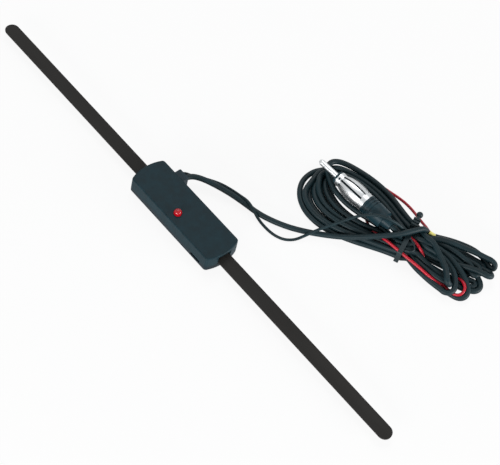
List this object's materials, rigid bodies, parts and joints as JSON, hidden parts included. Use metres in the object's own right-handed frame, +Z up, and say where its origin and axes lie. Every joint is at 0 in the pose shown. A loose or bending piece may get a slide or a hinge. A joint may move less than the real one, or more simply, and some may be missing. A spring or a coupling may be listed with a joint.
{
  "type": "windscreen radio aerial",
  "caption": "Stick-on car radio aerial: a flat amplifier box with a small lamp, a long flat strip out of each end, and a tied hank of thin coaxial lead with a sprung radio plug.",
  "frame": {"origin": "centre of the adhesive face under the amplifier box", "axes": "+X along the strips towards the end farther from the lead grommet, +Y towards the side where the leads come out, +Z up from the adhesive face"},
  "size_m": [0.33, 0.1312, 0.0231],
  "materials": {
    "housing_plastic": "fine satin moulded black",
    "foam_tape": "matt foam",
    "strip_skin": "matt warm black film",
    "screw_steel": "bright zinc",
    "contact_brass": "stamped",
    "board_laminate": "phenolic board",
    "led_red": "tinted clear resin",
    "tinned_wire": "tinned copper",
    "transistor_resin": "moulded resin",
    "capacitor_sleeve": "shrunk sleeve",
    "capacitor_disc": "dipped ceramic",
    "resistor_body": "lacquered",
    "choke_ferrite": "ferrite drum",
    "grommet_rubber": "soft moulded black",
    "cord_jacket": "satin black jacket",
    "core_copper": "bare copper",
    "plug_nickel": "nickel plate",
    "plug_black": "moulded black",
    "tie_black": "moulded black",
    "sleeve_yellow": "pale yellow sleeve",
    "wire_red": "red insulation"
  },
  "bodies": {
    "root": {"base_tray": "housing_plastic", "upper_cover": "housing_plastic", "adhesive_pad": "foam_tape", "aerial_strip_right": "strip_skin", "aerial_strip_left": "strip_skin", "strip_screws": "screw_steel", "strip_contacts": "contact_brass", "circuit_board": "board_laminate", "indicator_led": "led_red", "component_leads": "tinned_wire", "amplifier_transistor": "transistor_resin", "transistor_legs": "tinned_wire", "electrolytic_capacitor": "capacitor_sleeve", "ceramic_capacitors": "capacitor_disc", "resistors": "resistor_body", "choke_coil": "choke_ferrite", "cable_grommet": "grommet_rubber", "lead_tails": "cord_jacket", "lead_cores": "core_copper", "plug_pin": "plug_nickel", "plug_insulator": "plug_black", "plug_sleeve": "plug_nickel", "plug_boot": "plug_black", "cable_hank": "cord_jacket", "cable_tie": "tie_black", "joint_sleeve": "sleeve_yellow", "coax_lead": "cord_jacket", "power_lead": "cord_jacket", "red_lead": "wire_red", "plug_lead": "cord_jacket"}
  },
  "joints": []
}
